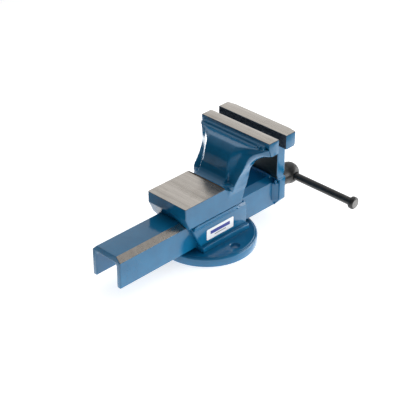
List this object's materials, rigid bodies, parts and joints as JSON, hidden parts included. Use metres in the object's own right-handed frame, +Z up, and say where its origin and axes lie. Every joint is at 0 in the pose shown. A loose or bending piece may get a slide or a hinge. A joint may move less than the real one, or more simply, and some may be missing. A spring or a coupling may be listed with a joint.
{
  "type": "bench vise",
  "caption": "Steel bench vise on a round bolt-down flange, with an anvil, a U-channel slide carrying the moving jaw, and a screw spindle turned by a sliding tommy bar.",
  "frame": {"origin": "centre of the round flange's bottom face, on the bench top", "axes": "+Z up; +Y along the slide towards its open tail, so the spindle and its handle are at -Y; X is the jaws' width"},
  "size_m": [0.2056, 0.3666, 0.1508],
  "materials": {
    "blue_enamel": "glossy blue enamel over forged and welded steel",
    "machined_steel": "bare milled steel, satin",
    "blackened_steel": "black oxide, satin",
    "nut_bronze": "greased bronze",
    "label_film": "white film label with plain colour bands"
  },
  "bodies": {
    "fixed_body": {"base_flange": "blue_enamel", "foot_pad": "blue_enamel", "side_wall_left": "blue_enamel", "side_wall_right": "blue_enamel", "seam_weld_left": "blue_enamel", "seam_weld_right": "blue_enamel", "fixed_jaw_body": "blue_enamel", "fixed_jaw_bar": "machined_steel", "jaw_weld": "blue_enamel", "side_label": "label_film", "spindle_nut": "nut_bronze", "nut_screw_left": "blackened_steel", "nut_screw_right": "blackened_steel"},
    "moving_jaw": {"slide_channel": "blue_enamel", "front_plate": "blue_enamel", "moving_neck": "blue_enamel", "moving_jaw_bar": "machined_steel", "plate_weld_left": "blue_enamel", "plate_weld_right": "blue_enamel", "neck_weld": "blue_enamel", "front_weld": "blue_enamel"},
    "spindle": {"spindle_screw": "machined_steel", "spindle_head": "blackened_steel", "head_pin": "blackened_steel", "thrust_washer": "blackened_steel", "retaining_collar": "blackened_steel", "collar_pin": "blackened_steel"},
    "handle": {"handle_bar": "blackened_steel", "handle_knob_left": "blackened_steel", "handle_knob_right": "blackened_steel"}
  },
  "joints": [
    {"name": "jaw_slide", "type": "slide", "parent": "fixed_body", "child": "moving_jaw", "axis": [0, -1, 0], "range_m": [-0.0133, 0.1121]},
    {"name": "spindle_turn", "type": "hinge", "parent": "moving_jaw", "child": "spindle", "pos_m": [0, -0.12, 0.0365], "axis": [0, -1, 0], "range_deg": [-1190, 10080]},
    {"name": "handle_slide", "type": "slide", "parent": "spindle", "child": "handle", "axis": [1, 0, 0], "range_m": [-0.057, 0.0986]}
  ],
  "couplings": [
    {"joint": "jaw_slide", "follows": "spindle_turn", "m_per_rad": 0.00063662}
  ]
}
